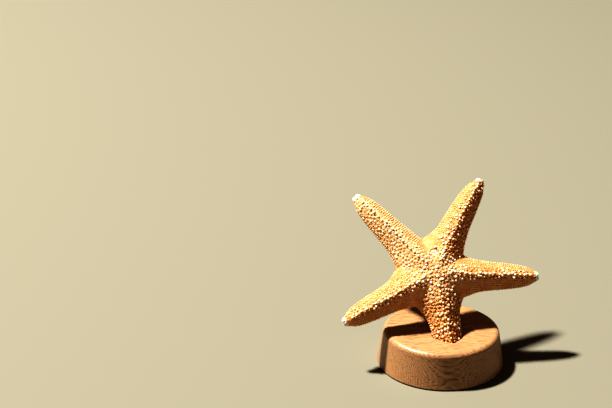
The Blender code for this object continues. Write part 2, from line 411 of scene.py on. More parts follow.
ridge_knobs = []
for arm in range(len(ARM_NAMES)):
    out = RIDGE_START
    while out < ARM_LENGTH[arm] - RIDGE_END:
        hit = skin_hit(arm, out, radians(90) + chance.uniform(-OFF_RIDGE, OFF_RIDGE))
        width, rise = chance.uniform(*RIDGE_WIDTHS) * MM, chance.uniform(*RIDGE_RISES) * MM
        if usable(hit):
            ridge_knobs.append((*hit, width, rise))
        out += RIDGE_PITCH * chance.uniform(*PITCH_VARIES)
ridge_spots, ridge_ways, ridge_widths, ridge_rises = (np.array(v) for v in zip(*ridge_knobs))
print(len(ridge_knobs), "ridge knobs")

# %% The rough bands
# How far the band reaches down the two flanks of each arm, as shares of half the width. The
# anticlockwise flank comes first, as seen from the rough face.
BAND_REACH = {
    "foot": (0.85, 0.85),
    "lower_left": (0.26, 0.60),
    "right": (0.36, 0.24),
    "upper_left": (0.90, 0.34),
    "upper_right": (0.42, 0.90),
}
BAND_FADE, DISC_FADE = 0.18, (8.5 * MM, 12.0 * MM)
UPPER_SIDE = (-0.05, 0.30)  # sines of the turn between which the under side becomes the upper


def by_arm(values, usual=0.0):
    return np.array([values.get(name, usual) for name in ARM_NAMES])


band_reach = by_arm(BAND_REACH)


def smooth_step(low, high, values):
    share = np.clip((values - low) / (high - low), 0.0, 1.0)
    return share * share * (3 - 2 * share)


def roughness_at(local, arm, share, turn):
    """1 on the rough band along each ridge and on the disc, 0 on flanks and under side."""
    from_middle = np.linalg.norm(local[:, :2], axis=1)
    reach = np.where(share > 0, band_reach[arm, 0], band_reach[arm, 1])
    near_ridge = 1 - smooth_step(-BAND_FADE, BAND_FADE, np.abs(share) - reach)
    near_middle = 1 - smooth_step(*DISC_FADE, from_middle)
    return np.maximum(near_ridge, near_middle) * smooth_step(*UPPER_SIDE, np.sin(turn))


skin_rough = roughness_at(skin_local, skin_arm, skin_share, skin_turn)
print("rough share of the skin", round(float(skin_rough.mean()), 2))

# %% Random places on the skin
PLACES_TRIED = 80000


def random_places(count):
    """Places spread at random over the skin, with the skin's direction there."""
    skin.data.calc_loop_triangles()
    corners = np.empty(len(skin.data.loop_triangles) * 3, dtype=np.int64)
    skin.data.loop_triangles.foreach_get("vertices", corners)
    corners = corners.reshape(-1, 3)
    a, b, c = (skin_points[corners[:, i]] for i in range(3))
    areas = np.linalg.norm(np.cross(b - a, c - a), axis=1)
    picked = chance.choice(len(corners), count, p=areas / areas.sum())
    weights = chance.dirichlet((1, 1, 1), count)
    spots = (skin_points[corners[picked]] * weights[:, :, None]).sum(axis=1)
    ways = (skin_normals[corners[picked]] * weights[:, :, None]).sum(axis=1)
    return spots, ways / np.linalg.norm(ways, axis=1, keepdims=True)


spots, ways = random_places(PLACES_TRIED)
standing = free_to_stand(spots)
spots, ways = spots[standing], ways[standing]
local = body_place(spots)
spot_arm, spot_out, _, spot_share, spot_turn = arm_place(local)
spot_rough = roughness_at(local, spot_arm, spot_share, spot_turn)
before_tip = arm_ends[spot_arm] - spot_out
print(len(spots), "places to choose from")

# %% Pits
PIT_GAP, WIDER_GAP, PIT_CLEAR_OF_RIDGE = 1.55 * MM, 0.25, 1.15 * MM
ROUGH_ENOUGH, PIT_CLEAR_OF_TIP = 0.25, 2.1 * MM


def keep_apart(spots, gaps, taken, taken_gap):
    """The numbers of the places that are left when each keeps its gap to those before it."""
    cell = float(max(gaps.max(), taken_gap))
    grid = {}

    def cell_of(spot):
        return tuple(floor(value / cell) for value in spot)

    def clear(spot, gap):
        x, y, z = cell_of(spot)
        for i in (x - 1, x, x + 1):
            for j in (y - 1, y, y + 1):
                for k in (z - 1, z, z + 1):
                    for other, reach in grid.get((i, j, k), ()):
                        dx, dy, dz = spot[0] - other[0], spot[1] - other[1], spot[2] - other[2]
                        if dx * dx + dy * dy + dz * dz < max(gap, reach) ** 2:
                            return False
        return True

    for spot in taken:
        grid.setdefault(cell_of(spot), []).append((tuple(spot), taken_gap))
    kept = []
    for number, (spot, gap) in enumerate(zip(spots.tolist(), gaps.tolist())):
        if clear(spot, gap):
            grid.setdefault(cell_of(spot), []).append((spot, 0.0))
            kept.append(number)
    return np.array(kept, dtype=np.int64)


band = np.flatnonzero((spot_rough > ROUGH_ENOUGH) & (before_tip > PIT_CLEAR_OF_TIP))
gaps = PIT_GAP * (1.0 + WIDER_GAP * (1 - spot_rough[band]))
pit_spots = spots[band[keep_apart(spots[band], gaps, ridge_spots, PIT_CLEAR_OF_RIDGE)]]
print(len(pit_spots), "pits")

# %% Knobs where the net's strands meet
KNOB_GAP, KNOB_CLEAR_OF_PIT = 1.30 * MM, 0.66 * MM
KNOB_CLEAR_OF_RIDGE, KNOB_CLEAR_OF_TIP = 1.35 * MM, 2.5 * MM


def distances(spots, targets):
    """From each place to the nearest target, and that target's number."""
    tree = KDTree(len(targets))
    for number, target in enumerate(targets):
        tree.insert(target, number)
    tree.balance()
    found = [tree.find(spot)[1:] for spot in spots.tolist()]
    return np.array([f[1] for f in found]), np.array([f[0] for f in found])


pit_distance, _ = distances(spots[band], pit_spots)
between = pit_distance > KNOB_CLEAR_OF_PIT
crossings = band[between][np.argsort(-pit_distance[between], kind="stable")]
crossings = crossings[before_tip[crossings] > KNOB_CLEAR_OF_TIP]
gaps = np.full(len(crossings), KNOB_GAP)
net_knobs = crossings[keep_apart(spots[crossings], gaps, ridge_spots, KNOB_CLEAR_OF_RIDGE)]
net_spots, net_ways = spots[net_knobs], ways[net_knobs]
print(len(net_knobs), "knobs on the net")

# %% [markdown]
# ## Granules in rows
# The steep flanks of the arms look smoother than the ridges. Close up they carry small granules in
# rows that run round the arm, with a shallow dent after each. A loop over the arm coordinates lays
# the rows, and the bays between the arms are filled later by even spreading.

# %% Rows of granules on the flanks
ROW_PITCH, ROWS_START, ROWS_SHORTER = 1.12 * MM, 17.5 * MM, 22 * MM
GRAIN_PITCH, ROW_WANDER = 0.98 * MM, 0.22 * MM
FLANK_FROM, FLANK_TO, FLANK_BELOW = radians(74), radians(-32), 0.5
USUAL_RADIUS, LEAST_RADIUS = 6 * MM, 2 * MM
row_grains, row_dents = [], []
for arm in range(len(ARM_NAMES)):
    for row in range(int((ARM_LENGTH[arm] - ROWS_SHORTER) / ROW_PITCH)):
        out = ROWS_START + row * ROW_PITCH
        middle, _, wide = line_at(arm, out)
        for right_side in (True, False):
            angle, number = FLANK_FROM, 0
            while angle > FLANK_TO:
                turn = angle if right_side else pi - angle
                hit = skin_hit(arm, out + chance.uniform(-1, 1) * ROW_WANDER, turn)
                radius = USUAL_RADIUS
                if usable(hit):
                    here = body_place(hit[0])[0]
                    step = np.hypot((here[:2] @ arm_across[arm]) - middle, here[2] - wide)
                    radius = max(LEAST_RADIUS, step)
                    (row_grains if number % 2 == 0 else row_dents).append(hit)
                angle -= GRAIN_PITCH / 2 / radius
                number += 1
grain_spots, grain_ways = (np.array(values) for values in zip(*row_grains))
grain_local = body_place(grain_spots)
grain_arm, _, _, grain_share, grain_turn = arm_place(grain_local)
on_flank = roughness_at(grain_local, grain_arm, grain_share, grain_turn) < FLANK_BELOW
grain_spots, grain_ways = grain_spots[on_flank], grain_ways[on_flank]
print(len(grain_spots), "granules in rows,", len(row_dents), "dents")

# %% [markdown]
# ## The skin's relief
# The even skin is now pressed in at the pits and raised a little under every knob, so that the
# strands between the pits stand up as a net. Moving the vertices gives real shape, which also
# shows along the outline. The disc and one arm are drawn pale, with shallower pits. On the upper
# left arm this is partly wear and partly painted light, which brightens it as if more light fell
# on it. The depth of each pit and how pale each place is are kept as values on the skin for its
# colour.

# %% The furrow under each arm
FURROW_HALF, FURROW_DEPTH, RIM_RISE = 2.0 * MM, 1.5 * MM, 0.25 * MM
FURROW_START, FURROW_OPENS = 2.2 * MM, 2.5 * MM
FURROW_CLOSES, NARROWS_FROM, NARROWS_TO = (0.88, 0.97), 0.55, 0.95  # shares of the arm
NARROWER, BED_EDGE, RIM_AT, RIM_WIDTH = 0.45, 0.35, 1.35, 0.25  # shares of half the furrow


def narrowing(arm, out):
    """How wide the furrow still is this far out, as a share of its full width."""
    return 1 - NARROWER * smooth_step(NARROWS_FROM, NARROWS_TO, out / arm_ends[arm])


def furrow_lift(arm, out, side, turn):
    """How far the skin's under side moves out (in, where negative) along the arm's furrow."""
    narrow = narrowing(arm, out)
    along = smooth_step(FURROW_START, FURROW_START + FURROW_OPENS, out)
    along = along * (1 - smooth_step(*FURROW_CLOSES, out / arm_ends[arm])) * (np.sin(turn) < 0)
    away = np.abs(side) / (FURROW_HALF * narrow)
    bed = 1 - smooth_step(BED_EDGE, 1.0, away)
    rim = np.exp(-(((away - RIM_AT) / RIM_WIDTH) ** 2))
    return along * narrow * (RIM_RISE * rim - FURROW_DEPTH * bed)


skin_furrow = furrow_lift(skin_arm, skin_out, skin_side, skin_turn)
print("furrow depth mm", round(float(-skin_furrow.min()) / MM, 2))

# %% Pale places, partly painted light
PALE_DISC, PALE_FROM, PALE_TO, PALE_FLATTENING = 0.60, 7 * MM, 21 * MM, 0.62
# Painted light, partly: the upper left arm is drawn paler, and its pits shallower and less dark.
PALE_AND_LIT_ARMS = by_arm({"upper_left": 1.0})


def paleness_and_painted_light(local):
    """How pale the disc and upper left arm are, 0 to 1; on the arm partly painted light."""
    arm = (local[:, :2] @ arm_along.T).argmax(axis=1)
    from_middle = np.linalg.norm(local[:, :2], axis=1)
    fade = smooth_step(PALE_FROM, PALE_TO, from_middle)
    return PALE_DISC * (1 - fade) + PALE_AND_LIT_ARMS[arm] * fade


skin_pale_and_lit = paleness_and_painted_light(skin_local)
print("mean paleness", round(float(skin_pale_and_lit.mean()), 2))

# %% Pits and strands in the skin
PIT_RADIUS, PIT_DEPTH, PIT_STRENGTHS = 0.68 * MM, 0.42 * MM, (0.65, 1.15)
DENT_RADIUS, DENT_DEPTH, FOOT_RADIUS, FOOT_RISE = 0.50 * MM, 0.15 * MM, 1.0 * MM, 0.16 * MM
CRUMPLE, CRUMPLE_SIZE, CRUMPLE_FALL, CRUMPLE_LAYERS = 0.05 * MM, 0.9 * MM, 0.6, 3
FLAT_MIDDLE, FURROW_TANS = 0.15, (0.3 * MM, 1.2 * MM)


def falloff(distance, radius):
    return 1 - smooth_step(FLAT_MIDDLE * radius, radius, distance)


def keep_values(mesh, title, values):
    """One number or one direction for each point of a mesh, kept on it under a name."""
    kind, key = ("FLOAT", "value") if values.ndim == 1 else ("FLOAT_VECTOR", "vector")
    attribute = mesh.attributes.new(title, kind, "POINT")
    attribute.data.foreach_set(key, values.astype(np.float32).ravel())


def crumpled(point):
    return noise.fractal(Vector(point) / CRUMPLE_SIZE, CRUMPLE_FALL, 2.0, CRUMPLE_LAYERS)


pit_away, pit_number = distances(skin_points, pit_spots)
dent_away, _ = distances(skin_points, np.array([hit[0] for hit in row_dents]))
knob_away, _ = distances(skin_points, np.vstack([ridge_spots, net_spots]))
pit_strength = chance.uniform(*PIT_STRENGTHS, len(pit_spots))[pit_number]
# Pale places keep less of their pits' depth and darkness: on the upper left arm partly painted
# light.
left_on_pale_places = 1 - PALE_FLATTENING * skin_pale_and_lit
in_pit = falloff(pit_away, PIT_RADIUS) * pit_strength * left_on_pale_places
in_dent = falloff(dent_away, DENT_RADIUS) * (1 - skin_rough) * left_on_pale_places
crumple = np.array([crumpled(point) for point in skin_points.tolist()])
lift = -PIT_DEPTH * in_pit - DENT_DEPTH * in_dent + FOOT_RISE * falloff(knob_away, FOOT_RADIUS)
lift += CRUMPLE * crumple + skin_furrow
set_points(skin.data, skin_points + skin_normals * lift[:, None])
keep_values(skin.data, "pit", in_pit)
keep_values(skin.data, "dent", in_dent)
keep_values(skin.data, "furrow", smooth_step(*FURROW_TANS, -skin_furrow))
keep_values(skin.data, "pale", skin_rough * skin_pale_and_lit)
print("skin carved, deepest place mm", round(float(-lift.min()) / MM, 2))

# %% [markdown]
# ## One tree for everything that stands on the skin
# Knobs, granules, spines and tube feet are all small rounded pegs that differ in width, length,
# bluntness and lean. Copying objects by hand would be slow. One Geometry Nodes tree puts a peg on
# each place, turns it along the direction kept there, scales it, and makes all of them one mesh.
# It also lays out the map called OFBake: each peg takes a tiny patch at its root's place on an
# unrolled arm, so that colours can be stored for every peg without clashes.

# %% The peg tree's inputs
PEG_INPUTS = {
    "Places": "Geometry",
    "Sides": "Int",
    "Rings": "Int",
    "Bluntness": "Float",
    "Seed": "Int",
    "Finish": "Material",
}


def put(tree, kind, inputs=None, **settings):
    """A new node with these settings, whose inputs are linked or given their values."""
    made = tree.nodes.new(kind)
    for key, value in settings.items():
        setattr(made, key, value)
    for key, value in (inputs or {}).items():
        socket = made.inputs[key]
        if isinstance(value, bpy.types.NodeSocket):
            tree.links.new(value, socket)
        else:
            socket.default_value = value
    return made


PEGS = bpy.data.node_groups.new("Pegs on places", "GeometryNodeTree")
for title, kind in PEG_INPUTS.items():
    PEGS.interface.new_socket(title, in_out="INPUT", socket_type=f"NodeSocket{kind}")
PEGS.interface.new_socket("Pegs", in_out="OUTPUT", socket_type="NodeSocketGeometry")
given = put(PEGS, "NodeGroupInput").outputs
print("peg tree with inputs", ", ".join(PEG_INPUTS))

# %% One blunt peg
PATCH, LEAST_RING = 0.003, 0.05  # the map's share for one peg, and the least radius to grow from


def reckon(tree, way, *values, clamp=False):
    inputs = dict(enumerate(values))
    return put(tree, "ShaderNodeMath", inputs, operation=way, use_clamp=clamp).outputs[0]


def reckon_way(tree, way, *values, result="Vector"):
    inputs = dict(enumerate(values))
    return put(tree, "ShaderNodeVectorMath", inputs, operation=way).outputs[result]


def stored(tree, geometry, title, kind, domain, value):
    inputs = {"Geometry": geometry, "Name": title, "Value": value}
    kept = put(tree, "GeometryNodeStoreNamedAttribute", inputs, data_type=kind, domain=domain)
    return kept.outputs["Geometry"]


def blunt_ball(tree, sides, rings, bluntness):
    """A ball made blunter: each ring grows as its own radius to the power of minus bluntness."""
    sizes = {"Segments": sides, "Rings": rings, "Radius": 0.5}
    ball = put(tree, "GeometryNodeMeshUVSphere", sizes).outputs["Mesh"]
    place = put(tree, "GeometryNodeInputPosition").outputs["Position"]
    level = put(tree, "ShaderNodeSeparateXYZ", {"Vector": place}).outputs["Z"]
    ball = stored(tree, ball, "height", "FLOAT", "POINT", reckon(tree, "ADD", level, 0.5))
    patch = reckon_way(tree, "MULTIPLY", place, (PATCH, PATCH, 0))
    ball = stored(tree, ball, "patch", "FLOAT_VECTOR", "POINT", patch)
    flat = reckon_way(tree, "MULTIPLY", place, (2, 2, 0))
    ring = reckon(tree, "MAXIMUM", reckon_way(tree, "LENGTH", flat, result="Value"), LEAST_RING)
    grow = reckon(tree, "POWER", ring, reckon(tree, "MULTIPLY", bluntness, -1.0))
    wider = put(tree, "ShaderNodeCombineXYZ", {"X": grow, "Y": grow, "Z": 1.0}).outputs[0]
    inputs = {"Geometry": ball, "Position": reckon_way(tree, "MULTIPLY", place, wider)}
    return put(tree, "GeometryNodeSetPosition", inputs).outputs["Geometry"]


peg = blunt_ball(PEGS, given["Sides"], given["Rings"], given["Bluntness"])
print("peg of", len(PEGS.nodes), "nodes")


# %% Pegs on their places
def read_vector(tree, title):
    made = put(tree, "GeometryNodeInputNamedAttribute", {"Name": title}, data_type="FLOAT_VECTOR")
    return made.outputs["Attribute"]


def turned_by_chance(tree, way, seed):
    """Upright along "way", and spun by chance round it."""
    inputs = {"Vector": way}
    upright = put(tree, "FunctionNodeAlignRotationToVector", inputs, axis="Z").outputs["Rotation"]
    inputs = {"Min": (0, 0, 0), "Max": (0, 0, 2 * pi), "Seed": seed}
    spin = put(tree, "FunctionNodeRandomValue", inputs, data_type="FLOAT_VECTOR").outputs["Value"]
    spin = put(tree, "FunctionNodeEulerToRotation", {"Euler": spin}).outputs["Rotation"]
    inputs = {"Rotation": upright, "Rotate By": spin}
    turned = put(tree, "FunctionNodeRotateRotation", inputs, rotation_space="LOCAL")
    return turned.outputs["Rotation"]


inputs = {
    "Points": given["Places"],
    "Instance": peg,
    "Rotation": turned_by_chance(PEGS, read_vector(PEGS, "lie"), given["Seed"]),
    "Scale": read_vector(PEGS, "size"),
}
pegs = put(PEGS, "GeometryNodeInstanceOnPoints", inputs).outputs["Instances"]
pegs = put(PEGS, "GeometryNodeRealizeInstances", {"Geometry": pegs}).outputs["Geometry"]
laid_out = reckon_way(PEGS, "ADD", read_vector(PEGS, "root"), read_vector(PEGS, "patch"))
pegs = stored(PEGS, pegs, "OFBake", "FLOAT2", "CORNER", laid_out)
pegs = put(PEGS, "GeometryNodeSetShadeSmooth", {"Geometry": pegs}).outputs["Geometry"]
inputs = {"Geometry": pegs, "Material": given["Finish"]}
pegs = put(PEGS, "GeometryNodeSetMaterial", inputs).outputs["Geometry"]
put(PEGS, "NodeGroupOutput", {"Pegs": pegs})
print("peg tree with", len(PEGS.nodes), "nodes")

# %% The unrolled skin
MAP_MARGIN, DISC_REACH = 0.03, 26 * MM
ARMS_FROM = 19.5 * MM  # what stands further out than this belongs to an arm's piece


def unrolled(local, arm, out, turn):
    """Where each root lies on the unrolled skin: an arm's own sheet, or the disc's two faces."""
    flat = np.zeros((len(local), 3))
    room = 1 - 2 * MAP_MARGIN
    if arm >= 0:
        flat[:, 0] = MAP_MARGIN + room * out / ARM_LENGTH[arm]
        flat[:, 1] = MAP_MARGIN + room * ((turn + pi / 2) % (2 * pi)) / (2 * pi)
    else:
        upper = np.sin(turn) > 0
        flat[:, 0] = np.where(upper, 0.25, 0.75) + local[:, 0] / (4 * DISC_REACH) * room
        flat[:, 1] = 0.5 + local[:, 1] / (2 * DISC_REACH) * room
    return flat


on_disc = skin_out <= ARMS_FROM
disc_map = unrolled(skin_local[on_disc], -1, skin_out[on_disc], skin_turn[on_disc])[:, :2]
print("the disc's map goes from", disc_map.min(axis=0).round(2), "to", disc_map.max(axis=0).round(2))

# %% Laying pegs
PEG_SEED = 7
coat_pieces = []


def grown(name, places, inputs):
    """What the peg tree grows on a mesh of places, as one plain piece."""
    item = link_new(name, places)
    growing = item.modifiers.new("Pegs", "NODES")
    growing.node_group = PEGS
    for socket in PEGS.interface.items_tree:
        if socket.in_out == "INPUT" and socket.name in inputs:
            growing[socket.identifier] = inputs[socket.name]
    mesh = made_plain(item).data
    for key in ("lie", "size", "root", "patch"):
        if key in mesh.attributes:
            mesh.attributes.remove(mesh.attributes[key])
    if "UVMap" in mesh.uv_layers:
        mesh.uv_layers.remove(mesh.uv_layers["UVMap"])
    return item


def lay_pegs(title, places, ways, widths, lengths, tones, finish, shape, oval=0.0):
    """Pegs of one kind, as one piece for the disc and one for each arm."""
    local = body_place(places)
    arm, out, _, _, turn = arm_place(local)
    area = np.where(out > ARMS_FROM, arm, -1)
    faces = 0
    for number in range(-1, len(ARM_NAMES)):
        mine = np.flatnonzero(area == number)
        if not len(mine):
            continue
        name = f"{title}_{'disc' if number < 0 else ARM_NAMES[number]}"
        mesh = bpy.data.meshes.new(name)
        mesh.from_pydata(places[mine].tolist(), [], [])
        stretch = 1 + oval * chance.uniform(-1, 1, len(mine))
        sizes = [widths[mine] * stretch, widths[mine] / stretch, lengths[mine]]
        keep_values(mesh, "lie", ways[mine])
        keep_values(mesh, "size", np.column_stack(sizes))
        keep_values(mesh, "root", unrolled(local[mine], number, out[mine], turn[mine]))
        keep_values(mesh, "tone", tones[mine])
        piece = grown(name, mesh, {**shape, "Seed": PEG_SEED, "Finish": finish})
        coat_pieces.append(piece)
        faces += len(piece.data.polygons)
    print(title, len(places), "pegs,", faces, "faces")


# %% [markdown]
# ## Finishes of the skin and its pegs
# The dried skin is a warm orange tan, palest on the strands and knobs. It is darkest in the pits
# and dents, which is partly its own colour and partly painted shade in those hollows. The knobs are
# bare chalk at the top. The skin reads its pit values, and a peg reads its own height and tone, so
# skin and coat keep one scheme of colours from every side.


# %% Helpers for finishes
def colour_steps(tree, factor, *steps):
    ramp = put(tree, "ShaderNodeValToRGB", {"Fac": factor})
    points = ramp.color_ramp.elements
    while len(points) < len(steps):
        points.new(0.5)
    for point, (where, colour) in zip(points, steps):
        point.position, point.color = where, (*colour, 1)
    return ramp.outputs["Color"]


def value_of(tree, title):
    return put(tree, "ShaderNodeAttribute", attribute_name=title).outputs["Fac"]


def grainy(tree, scale, detail=4.0, roughness=0.6):
    where = put(tree, "ShaderNodeTexCoord").outputs["Object"]
    inputs = {"Vector": where, "Scale": scale, "Detail": detail, "Roughness": roughness}
    return put(tree, "ShaderNodeTexNoise", inputs).outputs["Fac"]


def mixed(tree, share, first, second):
    """From the first colour to the second, by a share from 0 to 1."""
    colours = [(*value, 1) if isinstance(value, tuple) else value for value in (first, second)]
    inputs = {0: share, 6: colours[0], 7: colours[1]}  # by number, as several have one name
    return put(tree, "ShaderNodeMix", inputs, data_type="RGBA").outputs[2]


def finished(tree, shader, colour, height, depth, strength):
    """The colour and the finest relief go to the shader."""
    tree.links.new(colour, shader.inputs["Base Color"])
    inputs = {"Height": height, "Distance": depth, "Strength": strength}
    relief = put(tree, "ShaderNodeBump", inputs).outputs["Normal"]
    tree.links.new(relief, shader.inputs["Normal"])


# %% Skin finish
DARK_PIT, PIT_EDGE, FURROW_TAN = (0.18, 0.055, 0.012), (0.42, 0.180, 0.042), (0.27, 0.12, 0.04)
TAN, PALE_TAN, CREAM = (0.49, 0.165, 0.040), (0.63, 0.345, 0.165), (0.77, 0.58, 0.35)
SKIN_BLOTCH, SKIN_GRAIN, SKIN_GRAIN_DEPTH = 260.0, 3200.0, 0.12 * MM
PALE_SHARE, DENT_SHADE_SHARE = 0.48, 0.45


def skin_finish():
    finish, tree, shader = new_material("dried skin", roughness=0.68, specular=0.25)
    blotch = grainy(tree, SKIN_BLOTCH, detail=3.0)
    tan = colour_steps(tree, blotch, (0.30, TAN), (0.72, PALE_TAN))
    # Painted light, partly: the pale places, most of all the upper left arm, turn towards cream.
    pale_lit_share = reckon(tree, "MULTIPLY", value_of(tree, "pale"), PALE_SHARE)
    tan = mixed(tree, pale_lit_share, tan, CREAM)
    # Dents and pits are darkened by their depth: partly the skin's own colour, partly painted shade.
    dent_shade = reckon(tree, "MULTIPLY", value_of(tree, "dent"), DENT_SHADE_SHARE)
    tan = mixed(tree, dent_shade, tan, PIT_EDGE)
    pit = reckon(tree, "MULTIPLY", value_of(tree, "pit"), 1.0, clamp=True)
    pit_colour_and_shade = colour_steps(tree, pit, (0.25, PIT_EDGE), (0.85, DARK_PIT))
    share = put(tree, "ShaderNodeMapRange", {"Value": pit, "From Min": 0.10, "From Max": 0.60})
    colour = mixed(tree, share.outputs["Result"], tan, pit_colour_and_shade)
    colour = mixed(tree, value_of(tree, "furrow"), colour, FURROW_TAN)
    grain = grainy(tree, SKIN_GRAIN, detail=3.0, roughness=0.7)
    finished(tree, shader, colour, grain, SKIN_GRAIN_DEPTH, strength=0.8)
    return finish


dress(skin, skin_finish())

# %% Peg finishes
CHALK = (0.86, 0.77, 0.60)
PEG_BLOTCH, PEG_GRAIN, PEG_GRAIN_DEPTH = 1500.0, 4200.0, 0.08 * MM
UNEVEN, TONE_SHARE = 0.5, 0.60
ROOT_AT, BODY_AT, TOP_AT = 0.38, 0.62, 0.92


def peg_finish(name, root, body, top, lift=-0.28):
    """Darker at the root, paler at the top; "tone" lightens a peg as a whole, from "lift" up."""
    finish, tree, shader = new_material(name, roughness=0.62, specular=0.3)
    height = value_of(tree, "height")
    blotch = grainy(tree, PEG_BLOTCH, detail=2.0)
    climb = reckon(tree, "ADD", height, reckon(tree, "MULTIPLY_ADD", blotch, UNEVEN, -UNEVEN / 2))
    lifted = reckon(tree, "MULTIPLY_ADD", value_of(tree, "tone"), TONE_SHARE, lift)
    climb = reckon(tree, "ADD", climb, lifted, clamp=True)
    colour = colour_steps(tree, climb, (ROOT_AT, root), (BODY_AT, body), (TOP_AT, top))
    grain = grainy(tree, PEG_GRAIN, detail=2.0)
    finished(tree, shader, colour, grain, PEG_GRAIN_DEPTH, strength=0.6)
    return finish


KNOB = peg_finish("knob chalk", PIT_EDGE, PALE_TAN, CHALK, lift=-0.42)
GRANULE = peg_finish("granule", TAN, PALE_TAN, CREAM, lift=-0.25)
print("finishes", KNOB.name, "and", GRANULE.name)

# %% Knobs
KNOB_SHAPE, KNOB_OVAL = {"Sides": 9, "Rings": 5, "Bluntness": 0.18}, 0.14
KNOB_SUNK, KNOB_LEAN, KNOB_WEAR = 0.42, 0.13, 0.5
RIDGE_LENGTH, RIDGE_TONES = 1.9, (0.75, 1.0)  # the length as times the rise
FEW_LARGE, NET_WIDTH, NET_WIDER = 2.2, 0.62, 0.86  # widths in mm
NET_SLENDER, NET_ROOT = (0.55, 0.80), 0.24 * MM
NET_TONES, LARGE_TONE, PALE_AND_LIT_TONE = (0.1, 0.5), 0.7, 0.2
DISC_KNOBS, DISC_SCALE, TAN_AND_SHADE_FADE = 12 * MM, 1.1, 4 * MM
KNOB_SCALE = by_arm({"foot": 1.28, "upper_right": 1.15}, 1.0)
# Knobs darkened arm by arm: partly their own tan, partly painted shade, most on the foot and the
# upper right arm.
KNOB_TAN_AND_SHADE = by_arm(
    {"foot": 0.42, "lower_left": 0.22, "right": 0.10, "upper_right": 0.26, "upper_left": 0.25}
)


def stand(spots, ways, lengths, sunk):
    """Peg middles, so that the share "sunk" of each peg is under the even skin."""
    return spots + ways * (lengths * (0.5 - sunk))[:, None]


net_large = chance.random(len(net_knobs)) ** FEW_LARGE
net_local = body_place(net_spots)
net_arm, net_out, _, _, _ = arm_place(net_local)
net_scale = np.where(net_out > DISC_KNOBS, KNOB_SCALE[net_arm], DISC_SCALE)
net_widths = (NET_WIDTH + NET_WIDER * net_large) * net_scale * MM
net_lengths = net_widths * chance.uniform(*NET_SLENDER, len(net_knobs)) + NET_ROOT
net_lengths *= 1 - KNOB_WEAR * PALE_FLATTENING * paleness_and_painted_light(net_local)
all_spots, all_ways = np.vstack([ridge_spots, net_spots]), np.vstack([ridge_ways, net_ways])
all_ways += chance.normal(0, KNOB_LEAN, all_ways.shape)
all_widths = np.concatenate([ridge_widths, net_widths])
all_lengths = np.concatenate([ridge_rises * RIDGE_LENGTH, net_lengths])
net_tones = chance.uniform(*NET_TONES, len(net_knobs)) + LARGE_TONE * net_large
net_tones = np.clip(net_tones, 0, 1)
# Painted light, partly: knobs on the paler arm are lightened with it.
net_tones += np.where(net_out > DISC_KNOBS, PALE_AND_LIT_TONE, 0.0) * paleness_and_painted_light(net_local)
all_tones = np.concatenate([chance.uniform(*RIDGE_TONES, len(ridge_spots)), net_tones])
all_arm, all_out, _, _, _ = arm_place(body_place(all_spots))
tan_and_shade = smooth_step(DISC_KNOBS - TAN_AND_SHADE_FADE, DISC_KNOBS + TAN_AND_SHADE_FADE, all_out)
all_tones -= KNOB_TAN_AND_SHADE[all_arm] * tan_and_shade
places = stand(all_spots, all_ways, all_lengths, KNOB_SUNK)
lay_pegs(
    "knobs", places, all_ways, all_widths, all_lengths, all_tones, KNOB, KNOB_SHAPE, KNOB_OVAL
)

# %% Granules
GRAIN_SHAPE, GRAIN_SUNK, GRAIN_SLENDER = {"Sides": 7, "Rings": 4, "Bluntness": 0.1}, 0.46, 1.05
ROW_WIDTHS, FILL_WIDTHS = (0.56, 0.82), (0.34 * MM, 0.52 * MM)  # those in rows in mm
FILL_GAP, FILL_DOWN_TO, FILL_CLEAR_OF_TIP = 0.60 * MM, -0.5, 2.0 * MM
FILL_CLEAR_OF_PIT, FILL_CLEAR_OF_KNOB = 0.62 * MM, 0.72 * MM
GRAIN_TONES, PALE_TONE = (0.1, 0.75), 0.35
fill = np.flatnonzero((np.sin(spot_turn) > FILL_DOWN_TO) & (before_tip > FILL_CLEAR_OF_TIP))
pit_far, _ = distances(spots[fill], pit_spots)
fill = fill[pit_far > FILL_CLEAR_OF_PIT]
knobs_and_rows, gaps = np.vstack([all_spots, grain_spots]), np.full(len(fill), FILL_GAP)
fill = fill[keep_apart(spots[fill], gaps, knobs_and_rows, FILL_CLEAR_OF_KNOB)]
row_widths = chance.uniform(*ROW_WIDTHS, len(grain_spots)) * MM
fill_widths = chance.uniform(*FILL_WIDTHS, len(fill))
grain_widths = np.concatenate([row_widths, fill_widths])
grain_spots = np.vstack([grain_spots, spots[fill]])
grain_ways = np.vstack([grain_ways, ways[fill]])
grain_lengths = grain_widths * GRAIN_SLENDER
grain_tones = chance.uniform(*GRAIN_TONES, len(grain_spots))
# Painted light, partly: granules on the pale places, most of all the upper left arm, are lightened.
grain_tones += PALE_TONE * paleness_and_painted_light(body_place(grain_spots))
places = stand(grain_spots, grain_ways, grain_lengths, GRAIN_SUNK)
lay_pegs(
    "granules", places, grain_ways, grain_widths, grain_lengths, grain_tones, GRANULE, GRAIN_SHAPE
)

# %% [markdown]
# ## The under side
# Every arm has a soft furrow below, with rows of tube feet in it that dry to short brown pegs. Thin
# spines guard the furrow's rims, and stout blunt ones stand along the edge of the arm. They are
# laid row by row from the arm coordinates, with a ray from below that finds the skin.

# %% Rows under an arm
CLEAR_OF_END, BAY_CLEAR, HALF_BETWEEN_ARMS = 4.2 * MM, 0.3 * MM, radians(36)
SIZES_VARY, PITCHES_VARY = (0.85, 1.15), (0.88, 1.12)


def under_hit(arm, out, side):
    flat = arm_along[arm] * out + arm_across[arm] * (line_at(arm, out)[0] + side)
    return meet_skin(room_place(np.append(flat, -RAY_START))[0], FACE)


